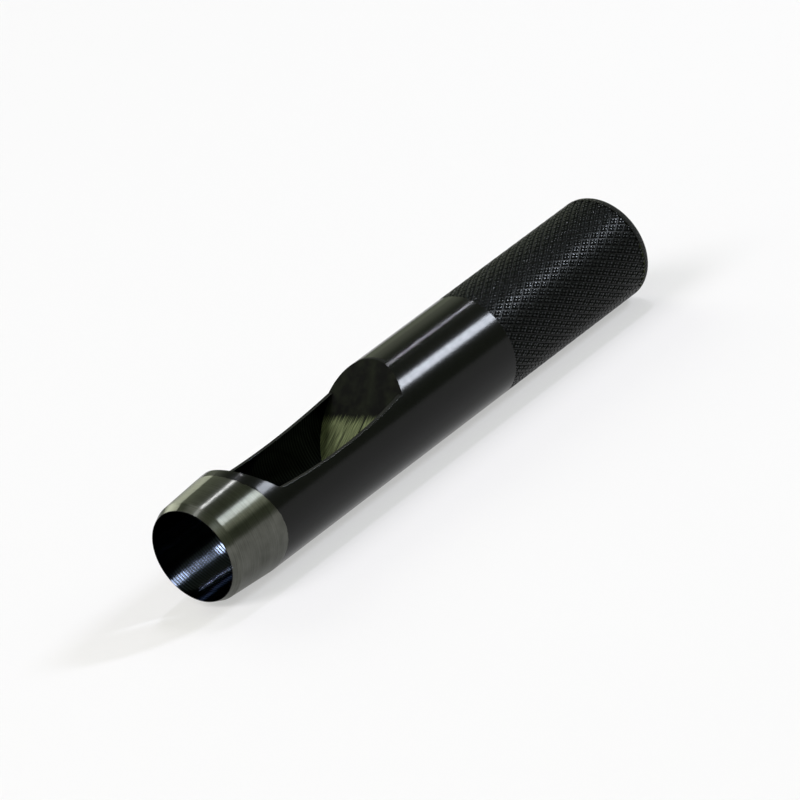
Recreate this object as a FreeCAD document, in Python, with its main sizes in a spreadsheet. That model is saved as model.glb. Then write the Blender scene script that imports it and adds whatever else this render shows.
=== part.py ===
import FreeCAD, Part
import os
import Sketcher

# Hollow punch that cuts round holes in leather and gasket sheet, turned from one steel bar.
# It lies on its side with the slug window up. The cutting edge is at -X and the striking face at +X.
# The origin is below the middle of its length, on the surface that it lies on. Sizes are in mm.
# Each piece is drawn along X from the cutting edge, with the bar's axis at Z = 0, and is then placed.

doc = FreeCAD.newDocument("hollow_punch")

# Driving sizes
sizes = doc.addObject("Spreadsheet::Sheet", "sizes")
driving_sizes = [
    ("bore_diameter", "18", "hole that the punch cuts"),
    ("cutting_land", "4", "length of the bore at full cutting size"),
    ("relief", "0.65", "widening of the bore behind the cutting land, on the radius"),
    ("wall_thickness", "0.85", "wall of the barrel round the relieved bore"),
    ("edge_land", "0.11", "width of the cutting edge"),
    ("bevel_length", "1.7", "steep bevel behind the cutting edge"),
    ("bevel_wall", "0.8", "wall where the bevel meets the long cone"),
    ("ground_length", "12.7", "bright ground tip"),
    ("smooth_length", "69.3", "smooth barrel from the ground tip to the knurl"),
    ("grip_length", "40.7", "knurled grip"),
    ("end_land", "0.3", "plain strip between the knurl and the rounded edge"),
    ("end_rounding", "2", "rounded edge of the striking face"),
    ("window_gap", "0.25", "plain strip between the ground tip and the window"),
    ("window_length", "43.7", "window along the barrel's top"),
    ("window_depth", "6.4", "barrel's top down to the lowest place of the window's floor"),
    ("window_low", "20.55", "window's start to the lowest place of its floor"),
    ("floor_radius", "150", "hollow curve of the window's floor"),
    ("window_corner", "1.5", "inside radius where the window's floor meets its tip end"),
    ("end_slope", "37", "lean of both window ends from square to the axis, in degrees"),
    ("overcut", "2", "how far cutting shapes pass the surfaces that they cut"),
]
for row, (alias, number, meaning) in enumerate(driving_sizes, start=1):
    sizes.set("A%d" % row, meaning)
    sizes.set("B%d" % row, number)
    sizes.setAlias("B%d" % row, alias)
doc.recompute()

# Places along the axis and radii, worked out from the driving sizes
bore_radius = "sizes.bore_diameter / 2"
edge_radius = "(sizes.bore_diameter / 2 + sizes.edge_land)"
bevel_radius = "(sizes.bore_diameter / 2 + sizes.bevel_wall)"
channel_radius = "(sizes.bore_diameter / 2 + sizes.relief)"
barrel_radius = "(%s + sizes.wall_thickness)" % channel_radius
barrel_start = "sizes.ground_length"
grip_start = "(sizes.ground_length + sizes.smooth_length)"
end_start = "(sizes.ground_length + sizes.smooth_length + sizes.grip_length)"
end_length = "(sizes.end_land + sizes.end_rounding)"
face_place = "(%s + %s)" % (end_start, end_length)
window_start = "(sizes.ground_length + sizes.window_gap)"
window_end = "(%s + sizes.window_length)" % window_start
lean = "tan(sizes.end_slope * 1deg)"
floor_height = "(%s - sizes.window_depth)" % barrel_radius


def plane(body, role):
    """Finds one of a body's own origin planes."""
    return [feature for feature in body.Origin.OriginFeatures if feature.Role == role][0]


def add_sketch(body, name, role):
    """Adds a sketch on one of the body's own origin planes."""
    sketch = body.newObject("Sketcher::SketchObject", name)
    sketch.AttachmentSupport = [(plane(body, role), "")]
    sketch.MapMode = "FlatFace"
    doc.recompute()
    return sketch


def vertex(sketch, place):
    """Gives a corner's place in the sketch from its two expressions."""
    return FreeCAD.Vector(float(sketch.evalExpression(place[0])), float(sketch.evalExpression(place[1])), 0)


def bind(sketch, kind, geometry, point, expression):
    """Ties one coordinate of a sketch point to an expression."""
    if expression == "0":
        axis = -2 if kind == "DistanceX" else -1
        sketch.addConstraint(Sketcher.Constraint("PointOnObject", geometry, point, axis))
        return
    number = float(sketch.evalExpression(expression))
    index = sketch.addConstraint(Sketcher.Constraint(kind, -1, 1, geometry, point, number))
    sketch.setExpression("Constraints[%d]" % index, expression)


def bind_place(sketch, geometry, point, place):
    """Ties both coordinates of a sketch point to expressions."""
    bind(sketch, "DistanceX", geometry, point, place[0])
    bind(sketch, "DistanceY", geometry, point, place[1])


def draw_outline(sketch, corners):
    """Draws a closed outline of straight lines through corners given as expressions."""
    places = [vertex(sketch, corner) for corner in corners]
    count = len(places)
    for index in range(count):
        sketch.addGeometry(Part.LineSegment(places[index], places[(index + 1) % count]), False)
    for index in range(count):
        sketch.addConstraint(Sketcher.Constraint("Coincident", index, 2, (index + 1) % count, 1))
    for index, corner in enumerate(corners):
        bind_place(sketch, index, 1, corner)
    doc.recompute()


def turn(body, name, corners):
    """Turns an outline round the bar's axis into a solid."""
    sketch = add_sketch(body, name + "_outline", "XZ_Plane")
    draw_outline(sketch, corners)
    solid = body.newObject("PartDesign::Revolution", name)
    solid.Profile = sketch
    solid.ReferenceAxis = (sketch, ["H_Axis"])
    solid.Angle = 360
    body.Tip = solid
    doc.recompute()
    return solid


def place_on_surface(piece):
    """Moves a piece from the drawing's frame to the frame of the finished punch."""
    piece.setExpression("Placement.Base.x", "-%s / 2" % face_place)
    piece.setExpression("Placement.Base.z", barrel_radius)


def first_crossing(start, direction, centre, radius):
    """Finds where a straight line that runs upwards first meets a circle."""
    offset = start - centre
    along = direction.dot(offset)
    return start + direction * (-along - (along ** 2 - offset.dot(offset) + radius ** 2) ** 0.5)


# Slug channel: the bore, which widens behind its cutting land, and the window that opens it upwards
channel = doc.addObject("PartDesign::Body", "slug_channel")
turn(channel, "bore", [
    ("-sizes.overcut", "0"),
    ("-sizes.overcut", bore_radius),
    ("sizes.cutting_land", bore_radius),
    (barrel_start, channel_radius),
    (window_end, channel_radius),
    (window_end, "0"),
])

# Ramp that closes the bore and throws the slugs out, in line with the window's far end
beyond_bore = "(%s + sizes.overcut)" % channel_radius
ramp_sketch = add_sketch(channel, "ramp_outline", "XZ_Plane")
draw_outline(ramp_sketch, [
    ("%s - (%s + %s) * %s" % (window_end, barrel_radius, beyond_bore, lean), "-" + beyond_bore),
    (window_end + " + sizes.overcut", "-" + beyond_bore),
    (window_end + " + sizes.overcut", beyond_bore),
    ("%s - (%s - %s) * %s" % (window_end, barrel_radius, beyond_bore, lean), beyond_bore),
])
ramp = channel.newObject("PartDesign::Pocket", "ramp")
ramp.Profile = ramp_sketch
ramp.Type = 1
ramp.Midplane = True
channel.Tip = ramp
doc.recompute()

# Window outline, seen from the side: sloping tip end, inside corner, hollow floor, and sloping far end
window_top = "(%s + sizes.overcut)" % barrel_radius
tip_top = ("%s - sizes.overcut * %s" % (window_start, lean), window_top)
tip_foot = ("%s + sizes.window_depth * %s" % (window_start, lean), floor_height)
far_foot = ("%s - sizes.window_depth * %s" % (window_end, lean), floor_height)
far_top = ("%s + sizes.overcut * %s" % (window_end, lean), window_top)
floor_centre = (window_start + " + sizes.window_low", floor_height + " + sizes.floor_radius")
window_sketch = add_sketch(channel, "window_outline", "XZ_Plane")
corner_radius = float(window_sketch.evalExpression("sizes.window_corner"))
floor_radius = float(window_sketch.evalExpression("sizes.floor_radius"))
top, foot, far, far_up, hollow = [
    vertex(window_sketch, place) for place in (tip_top, tip_foot, far_foot, far_top, floor_centre)]
tip_slope = (top - foot).normalize()
inward = FreeCAD.Vector(tip_slope.y, -tip_slope.x, 0)
corner_centre = first_crossing(foot + inward * corner_radius, tip_slope, hollow, floor_radius - corner_radius)
slope_end = corner_centre - inward * corner_radius
floor_start = hollow + (corner_centre - hollow).normalize() * floor_radius
corner_middle = corner_centre + ((slope_end + floor_start) / 2 - corner_centre).normalize() * corner_radius
floor_middle = hollow - FreeCAD.Vector(0, floor_radius, 0)
floor_end = first_crossing(far, (far_up - far).normalize(), hollow, floor_radius)
window_sketch.addGeometry(Part.LineSegment(top, slope_end), False)
window_sketch.addGeometry(Part.Arc(slope_end, corner_middle, floor_start), False)
window_sketch.addGeometry(Part.Arc(floor_start, floor_middle, floor_end), False)
window_sketch.addGeometry(Part.LineSegment(floor_end, far_up), False)
window_sketch.addGeometry(Part.LineSegment(far_up, top), False)
window_sketch.addGeometry(Part.Point(foot), True)
window_sketch.addGeometry(Part.Point(far), True)
window_sketch.addConstraint(Sketcher.Constraint("Tangent", 0, 2, 1, 1))
window_sketch.addConstraint(Sketcher.Constraint("Tangent", 1, 2, 2, 1))
window_sketch.addConstraint(Sketcher.Constraint("Coincident", 2, 2, 3, 1))
window_sketch.addConstraint(Sketcher.Constraint("Coincident", 3, 2, 4, 1))
window_sketch.addConstraint(Sketcher.Constraint("Coincident", 4, 2, 0, 1))
window_sketch.addConstraint(Sketcher.Constraint("PointOnObject", 5, 1, 0))
window_sketch.addConstraint(Sketcher.Constraint("PointOnObject", 6, 1, 3))
bind_place(window_sketch, 0, 1, tip_top)
bind_place(window_sketch, 3, 2, far_top)
bind_place(window_sketch, 5, 1, tip_foot)
bind_place(window_sketch, 6, 1, far_foot)
bind_place(window_sketch, 2, 3, floor_centre)
for arc, radius, expression in ((1, corner_radius, "sizes.window_corner"), (2, floor_radius, "sizes.floor_radius")):
    index = window_sketch.addConstraint(Sketcher.Constraint("Radius", arc, radius))
    window_sketch.setExpression("Constraints[%d]" % index, expression)
doc.recompute()
window = channel.newObject("PartDesign::Pad", "window")
window.Profile = window_sketch
window.Midplane = True
window.setExpression("Length", "2 * " + window_top)
channel.Tip = window
doc.recompute()

# Cutting tip: bright ground cone with a steeper bevel behind the cutting edge
tip_blank = doc.addObject("PartDesign::Body", "tip_blank")
turn(tip_blank, "ground_cone", [
    ("0", "0"),
    ("0", edge_radius),
    ("sizes.bevel_length", bevel_radius),
    (barrel_start, barrel_radius),
    (barrel_start, "0"),
])
cutting_tip = doc.addObject("Part::Cut", "cutting_tip")
cutting_tip.Base = tip_blank
cutting_tip.Tool = channel
place_on_surface(cutting_tip)

# Windowed barrel: smooth blackened bar between the tip and the grip, bored and cut open on top
barrel_blank = doc.addObject("PartDesign::Body", "barrel_blank")
turn(barrel_blank, "smooth_bar", [
    (barrel_start, "0"),
    (barrel_start, barrel_radius),
    (grip_start, barrel_radius),
    (grip_start, "0"),
])
windowed_barrel = doc.addObject("Part::Cut", "windowed_barrel")
windowed_barrel.Base = barrel_blank
windowed_barrel.Tool = channel
place_on_surface(windowed_barrel)

# Knurled grip: solid bar out to the knurl's crests, which are flush with the barrel
knurled_grip = doc.addObject("PartDesign::Body", "knurled_grip")
turn(knurled_grip, "knurled_bar", [
    (grip_start, "0"),
    (grip_start, barrel_radius),
    (end_start, barrel_radius),
    (end_start, "0"),
])
place_on_surface(knurled_grip)

# Striking end: plain end of the bar with a rounded edge, struck by the mallet
striking_end = doc.addObject("PartDesign::Body", "striking_end")
bar_end = turn(striking_end, "bar_end", [
    (end_start, "0"),
    (end_start, barrel_radius),
    (face_place, barrel_radius),
    (face_place, "0"),
])
face_x = float(sizes.evalExpression(face_place))
rim = [
    "Edge%d" % index
    for index, edge in enumerate(bar_end.Shape.Edges, start=1)
    if edge.Closed and abs(edge.CenterOfMass.x - face_x) < 0.001
]
rounding = striking_end.newObject("PartDesign::Fillet", "rounded_edge")
rounding.Base = (bar_end, rim)
rounding.setExpression("Radius", "sizes.end_rounding")
striking_end.Tip = rounding
place_on_surface(striking_end)
doc.recompute()

# Checks on the document and on each piece, and then the files
pieces = [cutting_tip, windowed_barrel, knurled_grip, striking_end]
for item in doc.Objects:
    if "Invalid" in item.State or "Error" in item.State:
        raise RuntimeError("%s failed: %s" % (item.Name, item.State))
for piece in pieces:
    if piece.Shape.isNull() or not piece.Shape.isValid():
        raise RuntimeError("%s has no valid shape" % piece.Label)
    if len(piece.Shape.Solids) != 1:
        raise RuntimeError("%s has %d solids" % (piece.Label, len(piece.Shape.Solids)))
if cutting_tip.Shape.Volume >= tip_blank.Shape.Volume or windowed_barrel.Shape.Volume >= barrel_blank.Shape.Volume:
    raise RuntimeError("the slug channel cuts nothing")
os.makedirs("parts", exist_ok=True)
for piece in pieces:
    piece.Shape.exportStep(os.path.join("parts", piece.Label + ".step"))
    box = piece.Shape.BoundBox
    print("%s volume %.1f x %.2f to %.2f y %.2f to %.2f z %.2f to %.2f" % (
        piece.Label, piece.Shape.Volume, box.XMin, box.XMax, box.YMin, box.YMax, box.ZMin, box.ZMax))
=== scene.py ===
import math

import bpy
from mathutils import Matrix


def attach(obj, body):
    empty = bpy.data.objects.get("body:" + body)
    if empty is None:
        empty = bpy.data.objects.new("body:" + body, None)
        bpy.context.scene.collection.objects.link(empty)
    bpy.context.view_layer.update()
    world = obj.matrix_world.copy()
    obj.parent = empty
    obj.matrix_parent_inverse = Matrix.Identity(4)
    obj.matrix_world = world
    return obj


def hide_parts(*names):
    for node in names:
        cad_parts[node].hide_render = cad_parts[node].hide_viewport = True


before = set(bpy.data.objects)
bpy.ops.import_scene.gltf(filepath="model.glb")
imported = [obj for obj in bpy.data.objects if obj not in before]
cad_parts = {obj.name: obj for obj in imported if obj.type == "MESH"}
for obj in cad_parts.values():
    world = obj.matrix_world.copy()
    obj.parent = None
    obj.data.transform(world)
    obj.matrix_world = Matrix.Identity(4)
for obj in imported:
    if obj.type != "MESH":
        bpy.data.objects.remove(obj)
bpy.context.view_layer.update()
bpy.ops.object.select_all(action="DESELECT")


# The bar: the punch is turned and bored from one round steel bar, cut open on top, heated and
# dipped so that black oxide covers it inside and out, and last ground bright on its cutting tip.
# The CAD nodes hold its shape. Here they get that finish, which is found from place and facing.
MM = 0.001
AXIS_HEIGHT = 10.5
CUTTING_EDGE = -62.5
GROUND_LENGTH = 11.0
GROUND_EXTRA = 3.08
WINDOW_START = 13.2
WINDOW_END = 57.2
CORNER_BREAK = 0.08
RING_PITCH = 0.66
EDGE_KNURL_START = 122.7
DEEP_GROOVES = 38
DEEP_PITCH = 2.985
MARK_HEIGHT = 0.006


def linear(colour):
    """Turns an sRGB hex colour into linear light."""
    shares = [int(colour[place:place + 2], 16) / 255 for place in (1, 3, 5)]
    light = [share / 12.92 if share <= 0.04045 else ((share + 0.055) / 1.055) ** 2.4 for share in shares]
    return light + [1.0]


def add(tree, kind, inputs=None, **settings):
    """Adds a node, sets it, and gives each input a value or a link from another node's output."""
    node = tree.nodes.new(kind)
    for name, setting in settings.items():
        setattr(node, name, setting)
    for name, value in (inputs or {}).items():
        if isinstance(value, bpy.types.NodeSocket):
            tree.links.new(value, node.inputs[name])
        else:
            node.inputs[name].default_value = value
    return node


def place_on_bar(tree):
    """Gives millimetres from the cutting edge, and across and up from the bar's axis."""
    place = add(tree, "ShaderNodeTexCoord").outputs["Object"]
    return add(tree, "ShaderNodeMapping", {
        "Vector": place, "Scale": (1 / MM, 1 / MM, 1 / MM),
        "Location": (-CUTTING_EDGE, 0, -AXIS_HEIGHT)}).outputs[0]


# Black oxide on turned steel is near black with a satin gloss. The ground tip is bare grey steel,
# whose highlights are drawn out along the bar.
bar_steel = bpy.data.materials.new("black_oxide_steel_with_ground_tip")
bar_steel.use_nodes = True
tree = bar_steel.node_tree
tree.nodes.clear()
place = place_on_bar(tree)
from_edge, sideways, upward = add(tree, "ShaderNodeSeparateXYZ", {0: place}).outputs
outward = add(tree, "ShaderNodeVectorMath", {0: place, 1: (0, 1, 1)}, operation="MULTIPLY").outputs[0]
outward = add(tree, "ShaderNodeVectorMath", {0: outward}, operation="NORMALIZE").outputs[0]
facing = add(tree, "ShaderNodeNewGeometry").outputs["Normal"]
facing_along = add(tree, "ShaderNodeSeparateXYZ", {0: facing}).outputs["X"]
facing_out = add(tree, "ShaderNodeVectorMath", {
    0: facing, 1: outward}, operation="DOT_PRODUCT").outputs["Value"]
outside = add(tree, "ShaderNodeMath", {0: facing_out, 1: 0.3}, operation="GREATER_THAN").outputs[0]
inside = add(tree, "ShaderNodeMath", {0: facing_out, 1: -0.3}, operation="LESS_THAN").outputs[0]

# The grinding runs out in a wavy line, 11 mm back on top and 14 mm back low on the side
low_side = add(tree, "ShaderNodeVectorMath", {
    0: outward, 1: (0, -0.974, -0.225)}, operation="DOT_PRODUCT").outputs["Value"]
low_side = add(tree, "ShaderNodeMath", {0: low_side, 1: 0.0}, operation="MAXIMUM").outputs[0]
low_side = add(tree, "ShaderNodeMath", {0: low_side, 1: 1.5}, operation="POWER").outputs[0]
run_out = add(tree, "ShaderNodeMath", {
    0: low_side, 1: GROUND_EXTRA, 2: GROUND_LENGTH}, operation="MULTIPLY_ADD").outputs[0]
ragged = add(tree, "ShaderNodeTexNoise", {"Vector": place, "Scale": 0.9, "Detail": 3.0}).outputs["Fac"]
run_out = add(tree, "ShaderNodeMath", {0: ragged, 1: 0.5, 2: run_out}, operation="MULTIPLY_ADD").outputs[0]
run_out = add(tree, "ShaderNodeMath", {0: run_out, 1: 0.25}, operation="SUBTRACT").outputs[0]
ground = add(tree, "ShaderNodeMath", {0: run_out, 1: from_edge}, operation="SUBTRACT").outputs[0]
ground = add(tree, "ShaderNodeMapRange", {"Value": ground, "From Min": -0.06, "From Max": 0.1}).outputs[0]
ground = add(tree, "ShaderNodeMath", {0: ground, 1: outside}, operation="MULTIPLY").outputs[0]

# The cut faces of the window are milled and left rough. Their corners are broken by a file.
facing_up = add(tree, "ShaderNodeSeparateXYZ", {0: facing}).outputs["Z"]
cut = add(tree, "ShaderNodeMath", {0: facing_up, 1: 0.95}, operation="GREATER_THAN").outputs[0]
past_start = add(tree, "ShaderNodeMath", {0: from_edge, 1: WINDOW_START}, operation="GREATER_THAN").outputs[0]
before_end = add(tree, "ShaderNodeMath", {0: from_edge, 1: WINDOW_END}, operation="LESS_THAN").outputs[0]
window = add(tree, "ShaderNodeMath", {0: past_start, 1: before_end}, operation="MULTIPLY").outputs[0]
cut = add(tree, "ShaderNodeMath", {0: cut, 1: window}, operation="MULTIPLY").outputs[0]
broken = add(tree, "ShaderNodeBevel", {"Radius": CORNER_BREAK * MM}, samples=6).outputs[0]
corners = add(tree, "ShaderNodeMix", {
    "Factor": window, "A": facing, "B": broken}, data_type="VECTOR").outputs["Result"]

# The ramp is the slanted far end of the window, matt from the milling cutter. Slugs keep it bare
# up to 1.5 mm above the axis, and leave streaks down the slope 0.2 mm apart that fade out upwards.
# Two dark scratches cross the bare part. Its bright yellow-green colour is partly painted light.
ramp = add(tree, "ShaderNodeMath", {0: facing_along, 1: -0.6}, operation="LESS_THAN").outputs[0]
far_half = add(tree, "ShaderNodeMath", {0: from_edge, 1: 30.0}, operation="GREATER_THAN").outputs[0]
ramp = add(tree, "ShaderNodeMath", {0: ramp, 1: far_half}, operation="MULTIPLY").outputs[0]
across = add(tree, "ShaderNodeMath", {
    0: upward, 1: 0.58, 2: sideways}, operation="MULTIPLY_ADD").outputs[0]
slope = add(tree, "ShaderNodeCombineXYZ", {"X": across, "Y": upward}).outputs[0]
slope = add(tree, "ShaderNodeVectorMath", {0: slope, 1: (5.0, 0.35, 1.0)}, operation="MULTIPLY").outputs[0]
streaks = add(tree, "ShaderNodeTexNoise", {"Vector": slope, "Scale": 1.0, "Detail": 3.0}).outputs["Fac"]
low = add(tree, "ShaderNodeMath", {0: streaks, 1: -2.4, 2: upward}, operation="MULTIPLY_ADD").outputs[0]
low = add(tree, "ShaderNodeMapRange", {
    "Value": low, "From Min": -0.4, "From Max": 0.9, "To Min": 1.0, "To Max": 0.0}).outputs[0]
rubbed = add(tree, "ShaderNodeMath", {0: low, 1: ramp}, operation="MULTIPLY").outputs[0]
scratches = None
for centre, width, depth in ((0.12, 0.3, 1.0), (3.6, 0.15, 0.8)):
    scratch = add(tree, "ShaderNodeMath", {0: across, 1: centre}, operation="SUBTRACT").outputs[0]
    scratch = add(tree, "ShaderNodeMath", {0: scratch}, operation="ABSOLUTE").outputs[0]
    scratch = add(tree, "ShaderNodeMapRange", {
        "Value": scratch, "From Min": 0.3 * width, "From Max": width,
        "To Min": depth, "To Max": 0.0}).outputs[0]
    scratches = scratch if scratches is None else add(
        tree, "ShaderNodeMath", {0: scratches, 1: scratch}, operation="MAXIMUM").outputs[0]

# Grinding lines run round the tip. A 120 grit wheel leaves them 0.1 mm apart, which is too fine
# to show, so they are drawn 0.25 mm apart. Boring left uneven rings in the bore.
stretched = add(tree, "ShaderNodeVectorMath", {
    0: place, 1: (4.0, 0.12, 0.12)}, operation="MULTIPLY").outputs[0]
lines = add(tree, "ShaderNodeTexNoise", {"Vector": stretched, "Scale": 1.0, "Detail": 3.0}).outputs["Fac"]
lines = add(tree, "ShaderNodeMath", {0: lines, 1: ground}, operation="MULTIPLY").outputs[0]
rings = add(tree, "ShaderNodeMath", {
    0: from_edge, 1: 2 * math.pi / RING_PITCH}, operation="MULTIPLY").outputs[0]
rings = add(tree, "ShaderNodeMath", {0: rings}, operation="SINE").outputs[0]
uneven = add(tree, "ShaderNodeVectorMath", {
    0: place, 1: (0.8, 0.05, 0.05)}, operation="MULTIPLY").outputs[0]
uneven = add(tree, "ShaderNodeTexNoise", {"Vector": uneven, "Scale": 1.0, "Detail": 2.0}).outputs["Fac"]
rings = add(tree, "ShaderNodeMath", {0: rings, 1: uneven}, operation="MULTIPLY").outputs[0]
rings = add(tree, "ShaderNodeMapRange", {"Value": rings, "From Min": -0.4, "From Max": 0.45}).outputs[0]
grain = add(tree, "ShaderNodeTexNoise", {"Vector": place, "Scale": 1.2, "Detail": 2.0}).outputs["Fac"]
marks = add(tree, "ShaderNodeMath", {0: grain, 1: 0.6, 2: lines}, operation="MULTIPLY_ADD").outputs[0]

# The knurl of the grip runs on over the rounded edge of the striking end, there as a pattern only
around = add(tree, "ShaderNodeMath", {0: sideways, 1: upward}, operation="ARCTAN2").outputs[0]
end_edge = add(tree, "ShaderNodeMath", {
    0: from_edge, 1: EDGE_KNURL_START}, operation="GREATER_THAN").outputs[0]
diamonds = add(tree, "ShaderNodeMath", {0: end_edge, 1: outside}, operation="MULTIPLY").outputs[0]
for hand in (1, -1):
    groove = add(tree, "ShaderNodeMath", {
        0: from_edge, 1: hand * 2 * math.pi / DEEP_PITCH}, operation="MULTIPLY").outputs[0]
    groove = add(tree, "ShaderNodeMath", {
        0: around, 1: DEEP_GROOVES, 2: groove}, operation="MULTIPLY_ADD").outputs[0]
    groove = add(tree, "ShaderNodeMath", {0: groove}, operation="SINE").outputs[0]
    groove = add(tree, "ShaderNodeMath", {0: groove}, operation="ABSOLUTE").outputs[0]
    diamonds = add(tree, "ShaderNodeMath", {0: groove, 1: diamonds}, operation="MULTIPLY").outputs[0]
marks = add(tree, "ShaderNodeMath", {0: diamonds, 1: 30.0, 2: marks}, operation="MULTIPLY_ADD").outputs[0]
bump = add(tree, "ShaderNodeBump", {
    "Height": marks, "Strength": 1.0, "Distance": MARK_HEIGHT * MM, "Normal": corners}).outputs[0]

# Colours: the black oxide all over, blotchy on the milled ramp and in rings in the bore, then the
# ground steel, and the track that slugs keep bare on the ramp, whose pale colour is partly painted light
tone = add(tree, "ShaderNodeTexNoise", {"Vector": place, "Scale": 0.35, "Detail": 5.0}).outputs["Fac"]
black = add(tree, "ShaderNodeMix", {
    "Factor": tone, "A": linear("#0a0b0a"), "B": linear("#10110f")}, data_type="RGBA").outputs["Result"]
blotches = add(tree, "ShaderNodeTexNoise", {"Vector": place, "Scale": 0.4, "Detail": 5.0}).outputs["Fac"]
blotches = add(tree, "ShaderNodeMapRange", {"Value": blotches, "From Min": 0.4, "From Max": 0.7}).outputs[0]
milled = add(tree, "ShaderNodeMix", {
    "Factor": blotches, "A": linear("#010101"), "B": linear("#15180f")}, data_type="RGBA").outputs["Result"]
black = add(tree, "ShaderNodeMix", {
    "Factor": ramp, "A": black, "B": milled}, data_type="RGBA").outputs["Result"]
bored = add(tree, "ShaderNodeMix", {
    "Factor": rings, "A": linear("#0a0b0c"), "B": linear("#3d424c")}, data_type="RGBA").outputs["Result"]
black = add(tree, "ShaderNodeMix", {
    "Factor": inside, "A": black, "B": bored}, data_type="RGBA").outputs["Result"]
streaky = add(tree, "ShaderNodeMath", {0: tone, 1: lines}, operation="ADD").outputs[0]
streaky = add(tree, "ShaderNodeMapRange", {"Value": streaky, "From Min": 0.6, "From Max": 1.4}).outputs[0]
steel = add(tree, "ShaderNodeMix", {
    "Factor": streaky, "A": linear("#464741"), "B": linear("#62635d")}, data_type="RGBA").outputs["Result"]
# The bare track is partly painted light: its pale yellow-green stands in for light and reflection on the
# lower ramp
streaked = add(tree, "ShaderNodeMapRange", {"Value": streaks, "From Min": 0.28, "From Max": 0.72}).outputs[0]
slug_wear_and_painted_light = add(tree, "ShaderNodeMix", {
    "Factor": streaked, "A": linear("#14170d"), "B": linear("#89926a")}, data_type="RGBA").outputs["Result"]
slug_wear_and_painted_light = add(tree, "ShaderNodeMix", {
    "Factor": scratches, "A": slug_wear_and_painted_light, "B": linear("#060606")}, data_type="RGBA").outputs["Result"]
colour = add(tree, "ShaderNodeMix", {
    "Factor": rubbed, "A": black, "B": slug_wear_and_painted_light}, data_type="RGBA").outputs["Result"]

# The oxide is rough where it was milled and on the knurled edge, and smoother in the bore. Inside
# the bore its reflections are dimmed by the specular tint, which is painted shade
matt = add(tree, "ShaderNodeMath", {0: ramp, 1: cut}, operation="MAXIMUM").outputs[0]
matt = add(tree, "ShaderNodeMath", {0: rubbed, 1: -0.4, 2: matt}, operation="MULTIPLY_ADD").outputs[0]
roughness = 0.142
for part, change in ((matt, 0.65), (end_edge, 0.35), (inside, -0.05), (grain, 0.08)):
    roughness = add(tree, "ShaderNodeMath", {
        0: part, 1: change, 2: roughness}, operation="MULTIPLY_ADD").outputs[0]
metallic = add(tree, "ShaderNodeMath", {0: rubbed, 1: 0.4, 2: inside}, operation="MULTIPLY_ADD").outputs[0]
# Painted shade: the specular tint darkens the reflections inside the bore to 0.45
painted_bore_shade = add(tree, "ShaderNodeMix", {
    "Factor": inside, "A": (1, 1, 1, 1), "B": (0.45, 0.45, 0.45, 1)}, data_type="RGBA").outputs["Result"]
black_oxide = add(tree, "ShaderNodeBsdfPrincipled", {
    "Base Color": colour, "Metallic": metallic, "Roughness": roughness, "Normal": bump,
    "Specular IOR Level": 0.15, "Specular Tint": painted_bore_shade}).outputs[0]

# The grinding lines spread a highlight along the bar and keep it narrow round the bar
round_bar = add(tree, "ShaderNodeTangent", direction_type="RADIAL", axis="X").outputs[0]
ground_steel = add(tree, "ShaderNodeBsdfPrincipled", {
    "Base Color": steel, "Metallic": 1.0, "Roughness": 0.3, "Normal": bump,
    "Anisotropic": 0.95, "Anisotropic Rotation": 0.25, "Tangent": round_bar}).outputs[0]
finish = add(tree, "ShaderNodeMixShader", {0: ground, 1: black_oxide, 2: ground_steel}).outputs[0]
add(tree, "ShaderNodeOutputMaterial", {"Surface": finish})

for node in ("cutting_tip", "windowed_barrel", "striking_end"):
    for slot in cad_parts[node].material_slots:
        slot.material = bar_steel


# The grip: the same bar, with a diamond knurl rolled into it by two wheels. The wheels tracked
# double, so 38 deep grooves of each hand have shallow ones between them. The grooves of the two
# hands cross at 60 degrees and leave small diamonds with flat tops.
KNURL_START = 19.5
KNURL_END = 60.2
CREST_RADIUS = 10.5
TOP_EDGE_RADIUS = 10.485
SHALLOW_RADIUS = 10.3
ROOT_RADIUS = 10.18
DEEP_FLOOR = 0.07
DEEP_WALL = 0.1
SHALLOW_WALL = 0.11
TOP_EDGE = 0.07
MERGE_DISTANCE = 0.01
half_long = DEEP_PITCH / 2
half_turn = math.pi / DEEP_GROOVES
half_wide = ROOT_RADIUS * half_turn
knurl_rows = math.ceil((KNURL_END - KNURL_START) / DEEP_PITCH) + 1
axis_point = (0, 0, AXIS_HEIGHT * MM)

# One cell between deep grooves, drawn flat: groove floor, wall, and four diamonds
bpy.ops.mesh.primitive_circle_add(vertices=4, radius=1, fill_type="NGON", location=(0, 0, 0))
knurl = bpy.context.object
knurl.name = "knurled_grip_diamonds"
bpy.ops.object.mode_set(mode="EDIT")
bpy.ops.transform.resize(value=(half_long * MM, half_wide * MM, 1), center_override=(0, 0, 0))
bpy.ops.transform.translate(value=(0, 0, ROOT_RADIUS * MM))
bpy.ops.mesh.inset(thickness=DEEP_FLOOR * MM)
bpy.ops.mesh.inset(thickness=DEEP_WALL * MM)
bpy.ops.transform.translate(value=(0, 0, (SHALLOW_RADIUS - ROOT_RADIUS) * MM))
bpy.ops.mesh.subdivide(number_cuts=1)
bpy.ops.mesh.inset(thickness=SHALLOW_WALL * MM, use_individual=True)
bpy.ops.transform.translate(value=(0, 0, (TOP_EDGE_RADIUS - SHALLOW_RADIUS) * MM))
bpy.ops.mesh.inset(thickness=TOP_EDGE * MM, use_individual=True)
bpy.ops.transform.translate(value=(0, 0, (CREST_RADIUS - TOP_EDGE_RADIUS) * MM))
bpy.ops.object.mode_set(mode="OBJECT")

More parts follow.
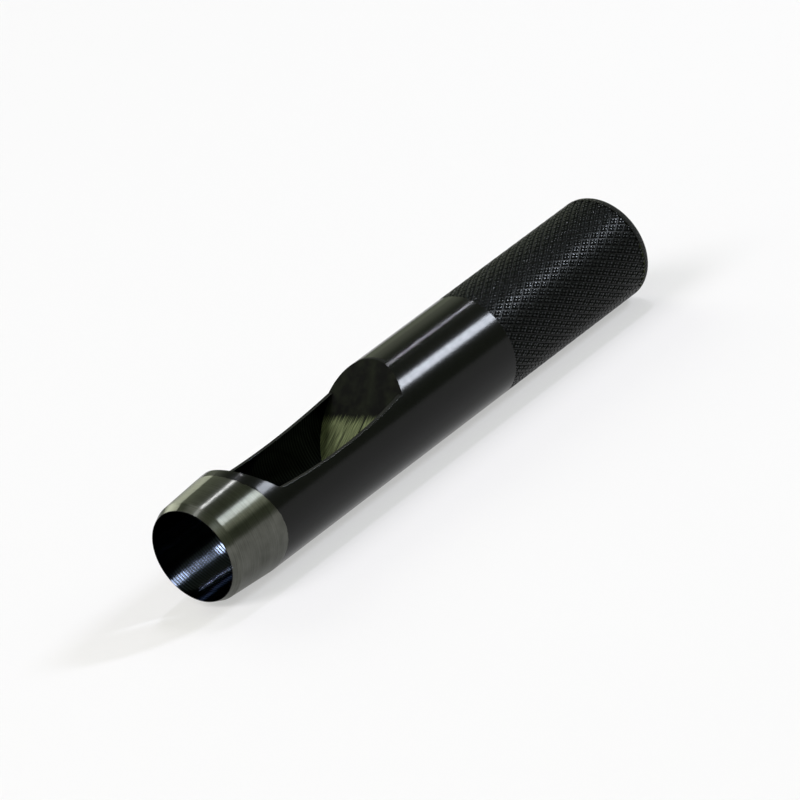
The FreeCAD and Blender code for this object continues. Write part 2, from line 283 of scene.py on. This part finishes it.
# The cell is bent round the bar, given its neighbour of the next row, and repeated
for corner in knurl.data.vertices:
    turn = corner.co.y / (ROOT_RADIUS * MM)
    radius = corner.co.z
    corner.co = (
        corner.co.x + KNURL_START * MM, radius * math.sin(turn), AXIS_HEIGHT * MM + radius * math.cos(turn))
bpy.ops.object.mode_set(mode="EDIT")
bpy.ops.mesh.select_all(action="SELECT")
bpy.ops.mesh.duplicate()
bpy.ops.transform.translate(value=(half_long * MM, 0, 0))
bpy.ops.transform.rotate(value=half_turn, orient_axis="X", center_override=axis_point)
bpy.ops.mesh.select_all(action="SELECT")
bpy.ops.mesh.spin(steps=DEEP_GROOVES, dupli=True, angle=2 * math.pi, center=axis_point, axis=(1, 0, 0))
bpy.ops.mesh.select_all(action="SELECT")
bpy.ops.mesh.remove_doubles(threshold=MERGE_DISTANCE * MM)
bpy.ops.object.mode_set(mode="OBJECT")
rows = knurl.modifiers.new("rows", "ARRAY")
rows.use_relative_offset = False
rows.use_constant_offset = True
rows.constant_offset_displace = (DEEP_PITCH * MM, 0, 0)
rows.count = knurl_rows
bpy.ops.object.modifier_apply(modifier="rows")
bpy.ops.object.mode_set(mode="EDIT")
bpy.ops.mesh.select_all(action="SELECT")
bpy.ops.mesh.remove_doubles(threshold=MERGE_DISTANCE * MM)
bpy.ops.mesh.bisect(
    plane_co=(KNURL_START * MM, 0, 0), plane_no=(1, 0, 0), use_fill=True, clear_inner=True)
bpy.ops.mesh.select_all(action="SELECT")
bpy.ops.mesh.bisect(
    plane_co=(KNURL_END * MM, 0, 0), plane_no=(1, 0, 0), use_fill=True, clear_outer=True)
bpy.ops.mesh.select_all(action="SELECT")
bpy.ops.mesh.normals_make_consistent(inside=False)
bpy.ops.object.mode_set(mode="OBJECT")

# Black oxide on the knurl is rubbed thin and smooth on the flat tops, which show a little bare
# steel, and is rougher in the grooves
knurl_steel = bpy.data.materials.new("black_oxide_steel_knurled")
knurl_steel.use_nodes = True
tree = knurl_steel.node_tree
tree.nodes.clear()
place = place_on_bar(tree)
from_axis = add(tree, "ShaderNodeVectorMath", {0: place, 1: (0, 1, 1)}, operation="MULTIPLY").outputs[0]
from_axis = add(tree, "ShaderNodeVectorMath", {0: from_axis}, operation="LENGTH").outputs["Value"]
tops = add(tree, "ShaderNodeMapRange", {
    "Value": from_axis, "From Min": CREST_RADIUS - 0.06, "From Max": CREST_RADIUS}).outputs[0]
grain = add(tree, "ShaderNodeTexNoise", {"Vector": place, "Scale": 2.2, "Detail": 4.0}).outputs["Fac"]
worn = add(tree, "ShaderNodeMapRange", {
    "Value": grain, "From Min": 0.45, "From Max": 0.75, "To Max": 0.5}).outputs[0]
worn = add(tree, "ShaderNodeMath", {0: worn, 1: tops}, operation="MULTIPLY").outputs[0]
colour = add(tree, "ShaderNodeMix", {
    "Factor": worn, "A": linear("#0e0f10"), "B": linear("#55585e")}, data_type="RGBA")
roughness = add(tree, "ShaderNodeMapRange", {
    "Value": from_axis, "From Min": ROOT_RADIUS, "From Max": CREST_RADIUS,
    "To Min": 0.36, "To Max": 0.18}).outputs[0]
bump = add(tree, "ShaderNodeBump", {"Height": grain, "Strength": 1.0, "Distance": 0.04 * MM}).outputs[0]
finish = add(tree, "ShaderNodeBsdfPrincipled", {
    "Base Color": colour.outputs["Result"], "Metallic": worn, "Roughness": roughness, "Normal": bump,
    "Specular IOR Level": 0.15})
add(tree, "ShaderNodeOutputMaterial", {"Surface": finish.outputs[0]})
knurl.data.materials.append(knurl_steel)
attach(knurl, "root")
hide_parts("knurled_grip")


# The floor: a plain pale sheet of matt paper that the punch lies on. It takes the punch's shadow,
# and a glow of its own lifts it to near white for the camera and in the steel's reflections.
PAPER_GLOW = 0.47
bpy.ops.mesh.primitive_plane_add(size=8, location=(0, 0, 0))
floor = bpy.context.object
floor.name = "paper_floor"
paper = bpy.data.materials.new("matt_white_paper")
paper.use_nodes = True
tree = paper.node_tree
tree.nodes.clear()
sheet = add(tree, "ShaderNodeBsdfDiffuse", {"Color": linear("#aaa7ab")}).outputs[0]
path = add(tree, "ShaderNodeLightPath").outputs
seen = add(tree, "ShaderNodeMath", {
    0: path["Is Camera Ray"], 1: path["Is Glossy Ray"]}, operation="MAXIMUM").outputs[0]
seen = add(tree, "ShaderNodeMath", {0: seen, 1: path["Is Transmission Ray"]}, operation="MAXIMUM").outputs[0]
seen = add(tree, "ShaderNodeMath", {0: seen, 1: PAPER_GLOW}, operation="MULTIPLY").outputs[0]
lift = add(tree, "ShaderNodeEmission", {"Color": (1, 1, 1, 1), "Strength": seen}).outputs[0]
both = add(tree, "ShaderNodeAddShader", {0: sheet, 1: lift}).outputs[0]
add(tree, "ShaderNodeOutputMaterial", {"Surface": both})
floor.data.materials.append(paper)


# The room: dim soft light all round, brighter from the wall and from a high window behind the
# punch, from in front of the cutting end, and beside the bluish lamp. Each bright patch has its
# middle, the cosines from it at which the light starts and is full, and its strength.
world = bpy.data.worlds.new("dim_room")
bpy.context.scene.world = world
world.use_nodes = True
tree = world.node_tree
tree.nodes.clear()
direction = add(tree, "ShaderNodeTexCoord").outputs["Generated"]
glow = 0.2
for middle, edge, full, gain in (
    ((0.654, 0.64, 0.4), 0.93, 0.99, 0.42),
    ((0.3, 0.846, 0.44), 0.956, 0.978, 4.8),
    ((-0.95, 0.0, 0.3), 0.2, 0.9, 0.5),
    ((0.38, -0.73, 0.57), 0.965, 0.99, 2.4),
):
    nearness = add(tree, "ShaderNodeVectorMath", {
        0: direction, 1: middle}, operation="DOT_PRODUCT").outputs["Value"]
    patch = add(tree, "ShaderNodeMapRange", {
        "Value": nearness, "From Min": edge, "From Max": full, "To Min": 0.0, "To Max": gain},
        interpolation_type="SMOOTHSTEP").outputs[0]
    glow = add(tree, "ShaderNodeMath", {0: patch, 1: glow}, operation="ADD").outputs[0]
tint = add(tree, "ShaderNodeMix", {
    "Factor": glow, "A": (0.84, 1.0, 0.6, 1), "B": (0.97, 1.0, 0.83, 1)}, data_type="RGBA").outputs["Result"]
room = add(tree, "ShaderNodeBackground", {"Color": tint, "Strength": glow}).outputs[0]
add(tree, "ShaderNodeOutputWorld", {"Surface": room})

# Four lamps. A bluish one and a narrow one beyond the striking end draw the two bright lines along
# the barrel, and a third carries the narrow line on over the ground tip. A large soft one, high
# behind the cutting end, lights the floor.
for name, place, turns, length, across, power, colour in (
    ("bluish_lamp", (1.647, -1.186, 1.459), (47.22, 30.75, 28.92), 0.2, 0.56, 27, (0.92, 0.98, 1.1)),
    ("narrow_lamp", (1.635, 0.438, 1.84), (-1.13, 42.6, 13.33), 0.25, 0.018, 2.1, (0.97, 0.98, 1.1)),
    ("edge_lamp", (1.0, 0.212, 2.281), (0.67, 24.13, 13.61), 0.5, 0.02, 11, (0.97, 0.96, 1.1)),
    ("soft_lamp", (-1.2, 0.5, 1.5), (-22.71, -35.0, 13.5), 1.0, 1.0, 18, (1.0, 0.98, 1.02)),
):
    lamp_data = bpy.data.lights.new(name, "AREA")
    lamp_data.shape = "RECTANGLE"
    lamp_data.size = length
    lamp_data.size_y = across
    lamp_data.energy = power
    lamp_data.color = colour
    lamp = bpy.data.objects.new(name, lamp_data)
    bpy.context.scene.collection.objects.link(lamp)
    lamp.location = place
    lamp.rotation_euler = [math.radians(turn) for turn in turns]


# The camera: a long lens, low over the cutting edge and looking along the bar.
camera_data = bpy.data.cameras.new("long_lens")
camera_data.lens = 314.012
camera_data.sensor_width = 36
camera_data.sensor_fit = "HORIZONTAL"
camera_data.clip_end = 50
camera = bpy.data.objects.new("long_lens", camera_data)
bpy.context.scene.collection.objects.link(camera)
camera.location = (-0.83399, -0.85294, 0.44885)
camera.rotation_euler = [math.radians(turn) for turn in (68.8193, 17.1762, -50.821)]
bpy.context.scene.camera = camera
bpy.context.scene.view_settings.view_transform = "Standard"
